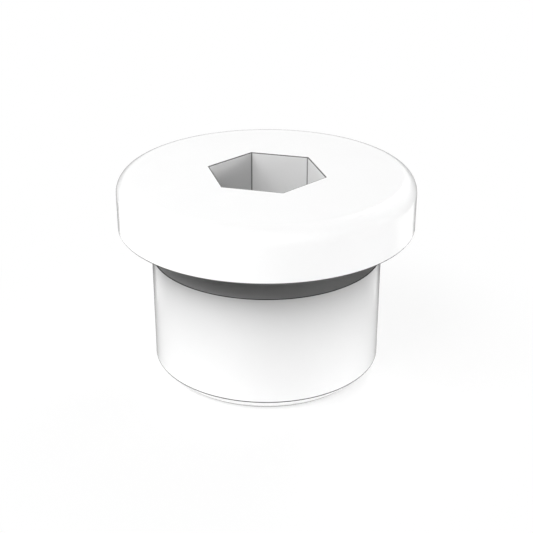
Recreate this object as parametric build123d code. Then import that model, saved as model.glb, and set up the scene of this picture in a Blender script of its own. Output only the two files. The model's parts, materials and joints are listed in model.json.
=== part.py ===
from build123d import *
import os
from math import radians, tan

# Collared screw plug with an inside hexagon, turned and broached from one blank.
# Millimetres. The plug stands on its end face: origin at the middle of that
# face, +Z up through the shank and the collar, socket mouth at the top. Two of
# the hexagon's flats face +X and -X.

# Collar, the flange that closes the port and carries the sealing ring
collar_diameter = 23.0
collar_height = 4.0
crown_radius = 1.2          # rounding of the upper rim
seat_edge_radius = 0.05     # edge break of the lower rim

# Undercut between the collar and the shank, where the threading tool runs out
undercut_width = 2.4
neck_diameter = 13.0
neck_root_radius = 0.3      # tool nose radius in both corners of the undercut

# Shank, a plain cylinder at the nominal diameter of the M18 thread
shank_diameter = 18.0
shank_length = 9.6
lead_in_chamfer = 0.95      # 45 degree chamfer on the end that enters the port

# Hexagon socket
socket_across_flats = 8.0
socket_depth = 7.5          # full hexagon, from the top face down
floor_ledge = 0.1           # flat left on the floor between each flat and the cone
drill_point_angle = 118.0   # included angle of the pilot hole's cone

# Heights above the end face
shoulder_z = shank_length
seat_z = shoulder_z + undercut_width
top_z = seat_z + collar_height
socket_floor_z = top_z - socket_depth


def turned_profile():
    """Half section of the blank in the XZ plane, from the axis outwards."""
    collar_r = collar_diameter / 2
    neck_r = neck_diameter / 2
    shank_r = shank_diameter / 2
    end_r = shank_r - lead_in_chamfer

    collar_top = (collar_r, top_z)
    collar_bottom = (collar_r, seat_z)
    neck_top = (neck_r, seat_z)
    neck_bottom = (neck_r, shoulder_z)
    outline = [
        (0, 0),
        (end_r, 0),
        (shank_r, lead_in_chamfer),
        (shank_r, shoulder_z),
        neck_bottom,
        neck_top,
        collar_bottom,
        collar_top,
        (0, top_z),
    ]
    roundings = [
        (collar_top, crown_radius),
        (collar_bottom, seat_edge_radius),
        (neck_top, neck_root_radius),
        (neck_bottom, neck_root_radius),
    ]
    with BuildSketch(Plane.XZ) as section:
        with BuildLine():
            Polyline(*outline, close=True)
        make_face()
        for corner, radius in roundings:
            fillet(section.vertices().sort_by_distance(corner)[0], radius)
    return section.sketch


def hex_socket():
    """The broached hexagon with the pilot drill's cone below its floor."""
    apothem = socket_across_flats / 2
    pilot_r = apothem - floor_ledge
    cone_depth = pilot_r / tan(radians(drill_point_angle / 2))
    flats_to_x = 30             # turns the corners from the X axis to the Y axis
    with BuildPart() as tool:
        with BuildSketch(Plane.XY.offset(socket_floor_z)):
            RegularPolygon(apothem, 6, major_radius=False, rotation=flats_to_x)
        extrude(amount=socket_depth)
        with Locations((0, 0, socket_floor_z)):
            Cone(0, pilot_r, cone_depth, align=(Align.CENTER, Align.CENTER, Align.MAX))
    return tool.part


def plug_body():
    """The whole plug: the turned blank less its socket."""
    with BuildPart() as body:
        add(turned_profile())
        revolve(axis=Axis.Z)
        add(hex_socket(), mode=Mode.SUBTRACT)
    return body.part


os.makedirs("parts", exist_ok=True)
export_step(plug_body(), "parts/plug_body.step")
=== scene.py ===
import json
import math

import bpy
import numpy as np
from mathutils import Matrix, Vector


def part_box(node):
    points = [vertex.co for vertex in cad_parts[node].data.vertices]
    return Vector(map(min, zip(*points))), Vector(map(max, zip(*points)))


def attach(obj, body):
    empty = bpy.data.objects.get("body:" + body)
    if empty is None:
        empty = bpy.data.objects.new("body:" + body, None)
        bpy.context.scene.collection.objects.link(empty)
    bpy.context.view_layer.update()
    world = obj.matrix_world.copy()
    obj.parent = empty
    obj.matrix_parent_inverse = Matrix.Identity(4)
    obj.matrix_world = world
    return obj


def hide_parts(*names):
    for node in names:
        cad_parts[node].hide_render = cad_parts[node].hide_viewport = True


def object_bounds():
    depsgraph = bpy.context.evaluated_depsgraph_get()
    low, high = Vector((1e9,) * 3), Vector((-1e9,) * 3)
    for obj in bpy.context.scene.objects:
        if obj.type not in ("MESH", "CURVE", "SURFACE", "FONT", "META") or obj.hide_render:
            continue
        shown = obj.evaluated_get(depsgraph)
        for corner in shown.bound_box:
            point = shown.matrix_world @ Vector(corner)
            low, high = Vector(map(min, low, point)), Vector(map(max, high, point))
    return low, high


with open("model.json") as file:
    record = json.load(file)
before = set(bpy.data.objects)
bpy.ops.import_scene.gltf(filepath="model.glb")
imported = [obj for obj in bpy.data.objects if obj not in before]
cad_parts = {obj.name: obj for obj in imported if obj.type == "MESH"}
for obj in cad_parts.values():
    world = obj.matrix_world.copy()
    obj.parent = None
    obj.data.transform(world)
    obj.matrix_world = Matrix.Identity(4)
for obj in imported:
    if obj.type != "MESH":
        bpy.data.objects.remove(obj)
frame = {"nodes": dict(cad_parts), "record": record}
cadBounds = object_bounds()
millimetre = 0.001
lowCorner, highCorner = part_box("plug_body")
mounts = {mount["name"]: mount for mount in frame["record"]["mounts"]}
print("frame:", len(frame["nodes"]), "node,", len(mounts), "mounts")


class Wire:
    # a node's output that takes part in sums; each operator adds one Math node
    def __init__(self, finish, socket):
        self.finish = finish
        self.socket = socket

    def maths(self, operation, *others):
        values = dict(enumerate((self, *others)))
        return self.finish.wire("ShaderNodeMath", {"operation": operation}, values)

    def __add__(self, other):
        return self.maths("ADD", other)

    def __sub__(self, other):
        return self.maths("SUBTRACT", other)

    def __rsub__(self, other):
        return self.finish.wire("ShaderNodeMath", {"operation": "SUBTRACT"}, {0: other, 1: self})

    def __mul__(self, other):
        return self.maths("MULTIPLY", other)

    def __abs__(self):
        return self.maths("ABSOLUTE")

    __radd__ = __add__
    __rmul__ = __mul__


class Finish:
    # the node tree of one material or world, emptied and ready to fill
    def __init__(self, owner):
        owner.use_nodes = True
        self.owner = owner
        self.tree = owner.node_tree
        self.tree.nodes.clear()

    def node(self, kind, settings=None, inputs=None):
        made = self.tree.nodes.new(kind)
        for name, value in (settings or {}).items():
            setattr(made, name, value)
        for name, value in (inputs or {}).items():
            if isinstance(value, Wire):
                self.tree.links.new(value.socket, made.inputs[name])
            else:
                made.inputs[name].default_value = value
        return made

    def wire(self, kind, settings=None, inputs=None, output=0):
        return Wire(self, self.node(kind, settings, inputs).outputs[output])

    def mark(self, name):
        # a number stored on the piece's points
        return self.wire("ShaderNodeAttribute", {"attribute_name": name}, output="Fac")

    def axes(self, place):
        # the three coordinates of a place
        split = self.node("ShaderNodeSeparateXYZ", {}, {"Vector": place})
        return [Wire(self, split.outputs[axis]) for axis in "XYZ"]

    def distance(self, place):
        # from the origin
        return self.wire("ShaderNodeVectorMath", {"operation": "LENGTH"}, {0: place}, output="Value")

    def blend(self, share, start, end):
        # start where share is 0 and end where it is 1, for numbers
        return start + share * (end - start)

    def rise(self, value, low, high, start=0, end=1):
        # start up to low and end from high on, with a smooth step between them
        return self.wire("ShaderNodeMapRange", {"interpolation_type": "SMOOTHSTEP"}, {
            "Value": value, "From Min": low, "From Max": high, "To Min": start, "To Max": end})

    def settle(self, depth, start, end, length):
        # start at no depth, and exponentially nearer to end over each further length
        return end + (depth.maths("MAXIMUM", 0) * (-1 / length)).maths("EXPONENT") * (start - end)


shankMount = mounts["shank"]
shankMiddle = shankMount["pos_m"][2]
shankHalf = shankMount["dims"]["length_mm"] / 2 * millimetre

plug = {
    # from the frame
    "collarRadius": highCorner.x,
    "topHeight": highCorner.z,
    "seatHeight": mounts["collar_seat"]["pos_m"][2],
    "shankRadius": shankMount["dims"]["r_mm"] * millimetre,
    "shoulderHeight": shankMiddle + shankHalf,
    "chamferHeight": shankMiddle - shankHalf,
    # the rest of the turned shape
    "neckRadius": 6.5 * millimetre,
    "neckRootRadius": 0.3 * millimetre,
    "crownRadius": 1.2 * millimetre,
    "seatEdgeRadius": 0.05 * millimetre,
    "crispRadius": 0.035 * millimetre,      # of every edge that reads as sharp
    # how far the painted shade line of such an edge runs onto the face before it and the face after it
    "baseLine": (0.01 * millimetre, 0.17 * millimetre),
    "edgeLine": (0.002 * millimetre, 0.045 * millimetre),
    "shoulderLine": (0.002 * millimetre, 0.01 * millimetre),
    "seatLine": (0.002 * millimetre, 0.02 * millimetre),
    "mouthLine": (0.04 * millimetre, 0.005 * millimetre),
    # the socket
    "apothem": 4.0 * millimetre,
    "socketDepth": 7.5 * millimetre,
    "floorLedge": 0.1 * millimetre,
    "drillHalfAngle": math.radians(59),
    "cornerAngle": math.radians(90),        # one corner of the hexagon lies on +Y
    # how far the painted shade line in a socket corner's crease fades out on each side of it, seen from the
    # axis
    "hairline": 0.085 * millimetre,
    # the mesh
    "columns": 288,
    "arcStep": math.radians(7.5),           # the most that a rounding turns from ring to ring
    "fewestSteps": 4,                       # of a rounding, however little it turns
    "guard": 0.02 * millimetre,             # plain strip beside each rounding and its line
    "sharpAngle": math.radians(40),         # from which an edge is shaded as a sharp one
}


def roundedLine(corners, spec):
    # A broken line through (radius, height, rounding, line) corners. A rounding runs between the
    # points at rounding * tan(turn / 2) on either side of its corner, along the circle that touches
    # both runs. A crisp edge has a painted shade line, which runs on past its rounding by the two
    # widths in line, onto the face before and the face after it. Each end has a plain strip outside it.
    # Returns the points and, for each, whether it lies on a painted shade line.
    places = np.array([corner[:2] for corner in corners], float)
    points, lineMarks = [places[:1]], [[0]]
    for before, corner, after, (_, _, rounding, line) in zip(places, places[1:], places[2:], corners[1:]):
        if rounding == 0:
            points.append(corner[None])
            lineMarks.append([0])
            continue
        back = (before - corner) / np.linalg.norm(before - corner)
        ahead = (after - corner) / np.linalg.norm(after - corner)
        turn = math.pi - math.acos(back @ ahead)
        reach = rounding * math.tan(turn / 2)
        middle = corner + (back + ahead) / np.linalg.norm(back + ahead) * rounding / math.cos(turn / 2)
        steps = max(spec["fewestSteps"], math.ceil(turn / spec["arcStep"]))
        share = np.linspace(0, 1, steps + 1)[:, None]
        first, last = corner + back * reach - middle, corner + ahead * reach - middle
        arc = middle + (np.sin((1 - share) * turn) * first + np.sin(share * turn) * last) / math.sin(turn)
        if line:
            arc = np.vstack([arc[:1] + back * line[0], arc, arc[-1:] + ahead * line[1]])
        points += [arc[:1] + back * spec["guard"], arc, arc[-1:] + ahead * spec["guard"]]
        lineMarks += [[0], [bool(line)] * len(arc), [0]]
    points.append(places[-1:])
    lineMarks.append([0])
    return np.vstack(points), np.concatenate(lineMarks).astype(float)


sixth = math.tau / 6                        # of a turn, from one corner of the hexagon to the next


def fromFlat(angle):
    # the angle from the middle of the nearest of the hexagon's six flats
    return (angle - plug["cornerAngle"]) % sixth - sixth / 2


def ringSurface(name, radius, height, hexShare, angle, sharpAngle, marks):
    # Ring i, column j lies at angle[j] and height[i], at the distance
    # radius[i] * (1 + hexShare[i] * (1 / cos(angle from the nearest flat's middle) - 1)) from the axis:
    # a circle where hexShare is 0, and a hexagon of that apothem where it is 1. The first and last
    # rings have no radius and become poles.
    distance = radius[:, None] * (1 + hexShare[:, None] * (1 / np.cos(fromFlat(angle)) - 1))
    rings = np.stack([distance * np.cos(angle), distance * np.sin(angle), height[:, None] + 0 * distance], -1)
    points = np.vstack([rings[0, :1], rings[1:-1].reshape(-1, 3), rings[-1, :1]])

    columns, top = len(angle), len(points) - 1
    here = np.arange(columns)
    beside = (here + 1) % columns
    start = 1 + np.arange(len(radius) - 3)[:, None] * columns
    quads = np.stack([start + here, start + beside, start + columns + beside, start + columns + here], -1)
    bottomFan = np.stack([0 * here, beside + 1, here + 1], -1)
    topFan = np.stack([0 * here + top, top - columns + here, top - columns + beside], -1)

    mesh = bpy.data.meshes.new(name)
    faces = bottomFan.tolist() + quads.reshape(-1, 4).tolist() + topFan.tolist()
    mesh.from_pydata(points.tolist(), [], faces)
    mesh.shade_smooth()
    mesh.set_sharp_from_angle(angle=sharpAngle)
    for mark, values in marks.items():
        spread = values + 0 * distance
        onPoints = np.concatenate([spread[0, :1], spread[1:-1].ravel(), spread[-1, :1]])
        mesh.attributes.new(mark, "FLOAT", "POINT").data.foreach_set("value", onPoints.astype(np.float32))
    piece = bpy.data.objects.new(name, mesh)
    bpy.context.scene.collection.objects.link(piece)
    return piece


def makePlug(spec):
    crisp, apothem = spec["crispRadius"], spec["apothem"]
    top, seat, shoulder = spec["topHeight"], spec["seatHeight"], spec["shoulderHeight"]
    collar, shank, neck = spec["collarRadius"], spec["shankRadius"], spec["neckRadius"]
    face = (collar + apothem) / 2           # a ring on the top face between the rim and the socket
    slack = crisp / 4                       # the tolerance in comparing heights and radii
    outside, outsideLines = roundedLine([
        (0, 0, 0, None),
        (shank - spec["chamferHeight"], 0, crisp, spec["baseLine"]),
        (shank, spec["chamferHeight"], crisp, spec["edgeLine"]),
        (shank, shoulder, crisp, spec["shoulderLine"]),
        (neck, shoulder, spec["neckRootRadius"], None),
        (neck, seat, spec["neckRootRadius"], None),
        (shank, seat, 0, None),
        (collar, seat, spec["seatEdgeRadius"], spec["seatLine"]),
        (collar, top, spec["crownRadius"], None),
        (face, top, 0, None)], spec)
    floor = top - spec["socketDepth"]
    pilot = apothem - spec["floorLedge"]
    inside, insideLines = roundedLine([
        (face, top, 0, None),
        (apothem, top, crisp, spec["mouthLine"]),
        (apothem, floor, crisp, None),
        (pilot, floor, crisp, None),
        (0, floor - pilot / math.tan(spec["drillHalfAngle"]), 0, None)], spec)
    profile = np.vstack([outside, inside[1:]])
    radius, height = profile.T
    inner = np.arange(len(profile)) >= len(outside)
    edgeLines = np.concatenate([outsideLines, insideLines[1:]])
    hexShare = (inner & (height > floor - crisp / 2) & (radius > pilot + crisp)).astype(float)
    hexShare[inner & (height > floor + crisp)] = 1

    even = np.arange(spec["columns"]) * math.tau / spec["columns"]
    corners = spec["cornerAngle"] + np.arange(6) * sixth
    # the columns at the socket's corners carry painted shade lines in its creases, fading out halfLine to
    # either side
    halfLine = spec["hairline"] / apothem * math.cos(sixth / 2)
    angle = np.concatenate([even, corners, corners - halfLine, corners + halfLine]) % math.tau
    angle = np.unique(np.round(angle, 9))   # an angle that comes twice is one column
    atCorner = np.abs(fromFlat(angle)) > sixth / 2 - halfLine / 4

    # where each finish and each painted shade lies, 1 for its points and 0 elsewhere; inSocket, inGroove,
    # onShank and edgeLine mark where shade is painted into the colour, and on the collar's underside the
    # groove's painted shade falls evenly from 1 at the shank's radius to 0 at the collar's
    inSocket = inner & (height < top - slack)
    onWall = inSocket & (height > floor + crisp / 2)
    betweenFaces = (height > shoulder - slack) & (height < seat + slack)
    inGroove = ~inner & betweenFaces & (radius < shank - slack)
    onSeat = ~inner & (np.abs(height - seat) < slack) & (radius > shank - slack)
    underside = onSeat * np.clip((collar - radius) / (collar - shank), 0, 1)
    onShank = ~inner & (height < shoulder - slack) & (radius > shank - spec["chamferHeight"] - crisp)
    # across the tool marks: along the profile where the plug is turned, and along the flat where
    # it is broached, at apothem * tan(angle from the flat's middle)
    along = np.concatenate([[0], np.cumsum(np.hypot(np.diff(radius), np.diff(height)))])
    return ringSurface("plugSurface", radius, height, hexShare, angle, spec["sharpAngle"], {
        "acrossMarks": np.where(onWall[:, None], apothem * np.tan(fromFlat(angle)), along[:, None]),
        "edgeLine": np.maximum(edgeLines[:, None], onWall[:, None] * atCorner),
        "inSocket": inSocket[:, None].astype(float),
        "inGroove": np.maximum(inGroove, underside)[:, None],
        "onShank": onShank[:, None].astype(float),
    })


plastic = {
    "white": 0.95,
    "whiteSpread": 0.02,
    "roughness": 0.12,
    "roughnessSpread": 0.05,
    "index": 1.35,                          # low, as of a fluoropolymer
    "mottleSize": 2.5 * millimetre,
    "mottleDetail": 3,
    # the tool marks, turned outside and broached in the socket
    "markPitch": 0.07 * millimetre,
    "markDepth": 0.01 * millimetre,
    "markStrength": 0.3,
    "markDetail": 2,
    # painted shade: darkening painted into the colour where shade gathers in hollows, as shares of the white
    "grooveShade": 0.36,                    # in the undercut and on the collar's underside
    "mouthShade": 0.87,                     # on the socket's walls at the mouth
    "deepShade": 0.7,                       # and deep down
    "mouthFade": 2.5 * millimetre,
    "shoulderShade": 0.475,                 # on the shank just below its shoulder
    "shoulderFade": 2.9 * millimetre,
    "edgeShade": 0.1,                       # painted shade in the lines along crisp edges and in the socket's corners
}


def whitePlastic(spec):
    finish = Finish(bpy.data.materials.new("whitePlastic"))
    place = finish.wire("ShaderNodeTexCoord", output="Object")
    height = finish.axes(place)[2]
    toolMarks = finish.wire("ShaderNodeTexNoise", {"noise_dimensions": "1D"}, {
        "W": finish.mark("acrossMarks"), "Scale": 1 / spec["markPitch"], "Detail": spec["markDetail"]})
    mottle = finish.wire("ShaderNodeTexNoise", {}, {
        "Vector": place, "Scale": 1 / spec["mottleSize"], "Detail": spec["mottleDetail"]})
    unevenness = mottle - 0.5               # the noise's middle value is 0.5
    bump = finish.wire("ShaderNodeBump", {}, {
        "Height": toolMarks, "Strength": spec["markStrength"], "Distance": spec["markDepth"]})
    # painted shade multiplied into the white: darker down the socket's walls, in the groove and on the
    # collar's underside, on the shank below its shoulder, and along the edge and corner lines
    wall = finish.settle(plug["topHeight"] - height, spec["mouthShade"], spec["deepShade"], spec["mouthFade"])
    shoulder = finish.settle(plug["shoulderHeight"] - height, spec["shoulderShade"], 1, spec["shoulderFade"])
    shade = finish.blend(finish.mark("inSocket"), 1, wall)
    shade = shade * finish.blend(finish.mark("inGroove"), 1, spec["grooveShade"])
    shade = shade * finish.blend(finish.mark("onShank"), 1, shoulder)
    shade = shade * finish.blend(finish.mark("edgeLine"), 1, spec["edgeShade"])
    shade = shade * (spec["white"] + spec["whiteSpread"] * unevenness)
    colour = finish.wire("ShaderNodeCombineColor", {}, {"Red": shade, "Green": shade, "Blue": shade})
    shader = finish.wire("ShaderNodeBsdfPrincipled", {}, {
        "Base Color": colour, "Normal": bump, "IOR": spec["index"],
        "Roughness": spec["roughness"] + spec["roughnessSpread"] * unevenness})
    finish.node("ShaderNodeOutputMaterial", {}, {"Surface": shader})
    return finish.owner


plugSurface = makePlug(plug)
plugSurface.data.materials.append(whitePlastic(plastic))
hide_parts("plug_body")
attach(plugSurface, "root")
print("plug:", len(plugSurface.data.polygons), "faces")


studio = {
    # lengths are in metres
    "azimuth": math.radians(45),            # of the camera; the lamps and the dish are placed from it
    "floorReach": 2.0,
    "floorAlbedo": 0.95,
    "shadowRadius": 30 * millimetre,
    "shadowShare": 0.35,
    "worldAmbient": 0.185,
    # a faint glow of the floor under the plug, which only lights
    "tableGlow": 0.18,
    "tableFade": (11 * millimetre, 14 * millimetre),
    # azimuth from the camera and elevation, in degrees, and power, in watts
    "lamps": {
        "key": (295, 45, 0.166),
        "keyLow": (295, 30, 0.105),
        "fill": (330, 45, 0.232),
        "rear": (150, 35, 0.288),
        "lowFront": (45, 5, 0.113),
        "lowRight": (90, 5, 0.321),
        "lowRear": (225, 5, 0.166),
    },
    "lampDistance": 0.25,
    "lampSize": 0.1,
}


def backgroundMask(finish):
    # 1 for a ray that shows the background, straight, mirrored or refracted, and 0 for lighting
    path = finish.node("ShaderNodeLightPath")
    kinds = [Wire(finish, path.outputs[name]) for name in
             ("Is Camera Ray", "Is Glossy Ray", "Is Transmission Ray")]
    return kinds[0] + kinds[1] + kinds[2]


def makeWorld(spec):
    finish = Finish(bpy.data.worlds.new("studioWorld"))
    strength = finish.blend(backgroundMask(finish), spec["worldAmbient"], 1)
    glow = finish.wire("ShaderNodeBackground", {}, {"Color": (1, 1, 1, 1), "Strength": strength})
    finish.node("ShaderNodeOutputWorld", {}, {"Surface": glow})
    bpy.context.scene.world = finish.owner


def makeFloor(spec):
    # what lights the plug is dull paper, with a faint glow under the plug; what is seen is white,
    # mixed near the plug with paper that keeps the shadow
    reach = spec["floorReach"]
    mesh = bpy.data.meshes.new("floor")
    mesh.from_pydata([(-reach, -reach, 0), (reach, -reach, 0), (reach, reach, 0), (-reach, reach, 0)], [],
                     [(0, 1, 2, 3)])
    floor = bpy.data.objects.new("floor", mesh)
    bpy.context.scene.collection.objects.link(floor)
    finish = Finish(bpy.data.materials.new("palePaper"))
    dull = finish.wire("ShaderNodeBsdfDiffuse", {}, {"Color": (spec["floorAlbedo"],) * 3 + (1,)})
    pale = finish.wire("ShaderNodeBsdfDiffuse", {}, {"Color": (1, 1, 1, 1)})
    white = finish.wire("ShaderNodeEmission", {}, {"Color": (1, 1, 1, 1), "Strength": 1})
    glow = finish.wire("ShaderNodeEmission", {}, {"Color": (1, 1, 1, 1), "Strength": spec["tableGlow"]})
    glowing = finish.wire("ShaderNodeAddShader", {}, {0: dull, 1: glow})
    away = finish.distance(finish.wire("ShaderNodeTexCoord", output="Object"))
    table = finish.wire("ShaderNodeMixShader", {}, {
        0: finish.rise(away, *spec["tableFade"]), 1: glowing, 2: dull})
    fade = finish.rise(away, 0, spec["shadowRadius"], 1 - spec["shadowShare"], 1)
    seen = finish.wire("ShaderNodeMixShader", {}, {0: fade, 1: pale, 2: white})
    paper = finish.wire("ShaderNodeMixShader", {}, {0: backgroundMask(finish), 1: table, 2: seen})
    finish.node("ShaderNodeOutputMaterial", {}, {"Surface": paper})
    mesh.materials.append(finish.owner)


dish = {
    "inside": 9.0 * millimetre,
    "outside": 60 * millimetre,
    "lift": 0.05 * millimetre,
    "height": 26 * millimetre,
    "wallFade": 20 * millimetre,            # the wall is dark up to here, and white at its rim
    "columns": 96,
    # the two pale windows
    "windowAside": 9.8 * millimetre,
    "windowSpread": 0.62,
    "windowSoft": 1 * millimetre,
    "windowBehind": 12 * millimetre,
    "windowNear": (14 * millimetre, 20 * millimetre),
    "windowFar": (46 * millimetre, 50 * millimetre),
}


def makeDish(spec, azimuth):
    # A dark open dish round the plug that only the gloss sees, so that the plug's outlines read. Its
    # wall turns white towards the rim. In its floor, behind the plug to the left and the right, are
    # two pale windows, which keep the dark to a thin line along the collar's sides. They begin at
    # |aside| = windowAside + windowSpread * behind, with aside measured across the camera's view and
    # behind along it, and fade out forwards, near the plug and far off.
    # Ring i, column j of the dish is its corner i, turned about the axis by j / columns of a whole turn.
    corners = np.array([(spec["inside"], spec["lift"]), (spec["outside"], spec["lift"]),
                        (spec["outside"], spec["height"])])
    here = np.arange(spec["columns"])
    beside = (here + 1) % spec["columns"]
    turn = here * math.tau / spec["columns"]
    radius, height = corners[:, :1], corners[:, 1:]
    rings = np.stack([radius * np.cos(turn), radius * np.sin(turn), height + 0 * turn], -1)
    faces = np.stack([here, here + spec["columns"], beside + spec["columns"], beside], -1)
    mesh = bpy.data.meshes.new("darkDish")
    mesh.from_pydata(rings.reshape(-1, 3).tolist(), [], np.vstack([faces, faces + spec["columns"]]).tolist())
    card = bpy.data.objects.new("darkDish", mesh)
    bpy.context.scene.collection.objects.link(card)

    finish = Finish(bpy.data.materials.new("darkCard"))
    place = finish.wire("ShaderNodeTexCoord", output="Object")
    x, y, z = finish.axes(place)
    away = finish.distance(place)
    aside = x * math.cos(azimuth) + y * math.sin(azimuth)
    behind = y * math.cos(azimuth) - x * math.sin(azimuth)
    edge = abs(aside) - behind * spec["windowSpread"]
    window = finish.rise(edge, spec["windowAside"], spec["windowAside"] + spec["windowSoft"])
    window = window * finish.rise(behind, 0, spec["windowBehind"])
    window = window * finish.rise(away, *spec["windowNear"]) * finish.rise(away, *spec["windowFar"], 1, 0)
    bright = window.maths("MAXIMUM", finish.rise(z, spec["wallFade"], spec["height"]))
    dark = finish.wire("ShaderNodeEmission", {}, {"Color": (0, 0, 0, 1), "Strength": 1})
    white = finish.wire("ShaderNodeEmission", {}, {"Color": (1, 1, 1, 1), "Strength": 1})
    glow = finish.wire("ShaderNodeMixShader", {}, {0: bright, 1: dark, 2: white})
    finish.node("ShaderNodeOutputMaterial", {}, {"Surface": glow})
    mesh.materials.append(finish.owner)
    card.visible_camera = False
    card.visible_diffuse = False
    card.visible_shadow = False
    card.visible_transmission = False


def towards(azimuth, elevation):
    # the unit vector that points from the plug to a place at that azimuth and elevation
    level = math.cos(elevation)
    return Vector((math.sin(azimuth) * level, -math.cos(azimuth) * level, math.sin(elevation)))


def makeLamps(spec):
    # round soft lamps, each aimed at the middle of the plug's end face
    for name, (azimuth, elevation, power) in spec["lamps"].items():
        lamp = bpy.data.lights.new(name, "AREA")
        lamp.shape = "DISK"
        lamp.size = spec["lampSize"]
        lamp.energy = power
        holder = bpy.data.objects.new(name, lamp)
        back = towards(spec["azimuth"] + math.radians(azimuth), math.radians(elevation))
        holder.location = back * spec["lampDistance"]
        holder.rotation_euler = back.to_track_quat("Z", "Y").to_euler()
        bpy.context.scene.collection.objects.link(holder)


makeWorld(studio)
makeFloor(studio)
makeDish(dish, studio["azimuth"])
makeLamps(studio)
print("studio:", len(studio["lamps"]), "lamps")

view = {
    "azimuth": studio["azimuth"],
    "elevation": math.radians(25.06),
    "distance": 86.53 * millimetre,
    # the lens and the sensor are in millimetres, as a camera takes them
    "lens": 73.46,
    "sensor": 36,
    "nearClip": 5 * millimetre,
}


def makeCamera(spec):
    # aimed at the middle of the plug's box
    middle = (cadBounds[0] + cadBounds[1]) / 2
    back = towards(spec["azimuth"], spec["elevation"])
    lens = bpy.data.cameras.new("camera")
    lens.lens = spec["lens"]
    lens.sensor_width = spec["sensor"]
    lens.clip_start = spec["nearClip"]
    camera = bpy.data.objects.new("camera", lens)
    camera.location = middle + back * spec["distance"]
    camera.rotation_euler = back.to_track_quat("Z", "Y").to_euler()
    bpy.context.scene.collection.objects.link(camera)
    bpy.context.scene.camera = camera


makeCamera(view)
bpy.context.scene.view_settings.view_transform = "Standard"
print("camera set")
